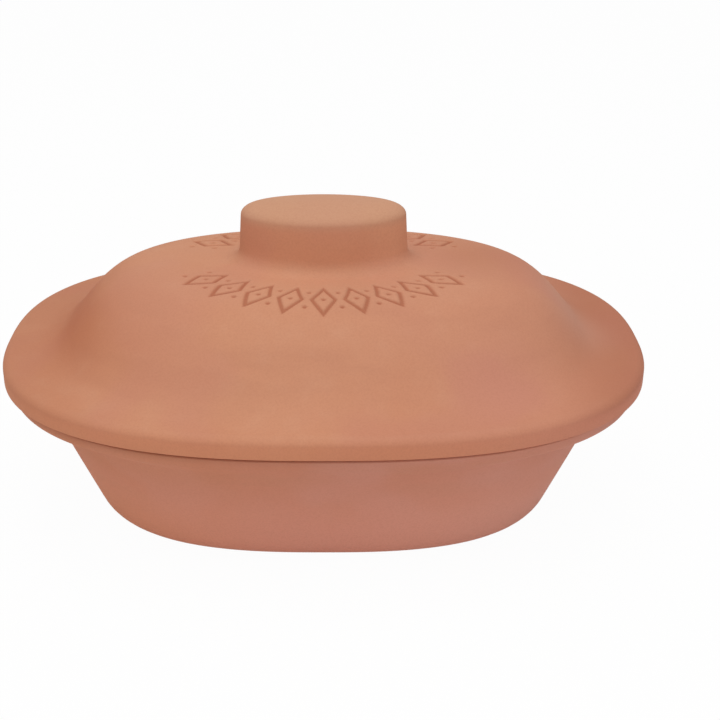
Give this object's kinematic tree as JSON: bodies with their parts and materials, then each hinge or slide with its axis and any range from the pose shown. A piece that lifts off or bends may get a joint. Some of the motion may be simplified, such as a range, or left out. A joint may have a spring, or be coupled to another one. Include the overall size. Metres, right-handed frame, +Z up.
{
  "type": "clay roaster",
  "caption": "Oval unglazed clay roaster: a leaning dish whose flange widens into end grips, and a lift-off domed lid with wings, a locating lip and a hollow oval knob.",
  "frame": {"origin": "on the table, under the middle of the dish's foot ring", "axes": "+Z up, +X along the length towards one end grip, +Y across the width, away from the viewer of the picture"},
  "size_m": [0.37, 0.2574, 0.1825],
  "materials": {
    "dish_clay": "matte, unglazed",
    "lid_clay": "matte, unglazed"
  },
  "bodies": {
    "base": {"base": "dish_clay"},
    "lid": {"lid": "lid_clay"}
  },
  "joints": [
    {"name": "lid_lift", "type": "slide", "parent": "base", "child": "lid", "axis": [0, 0, 1], "range_m": [0, 0.15]}
  ]
}
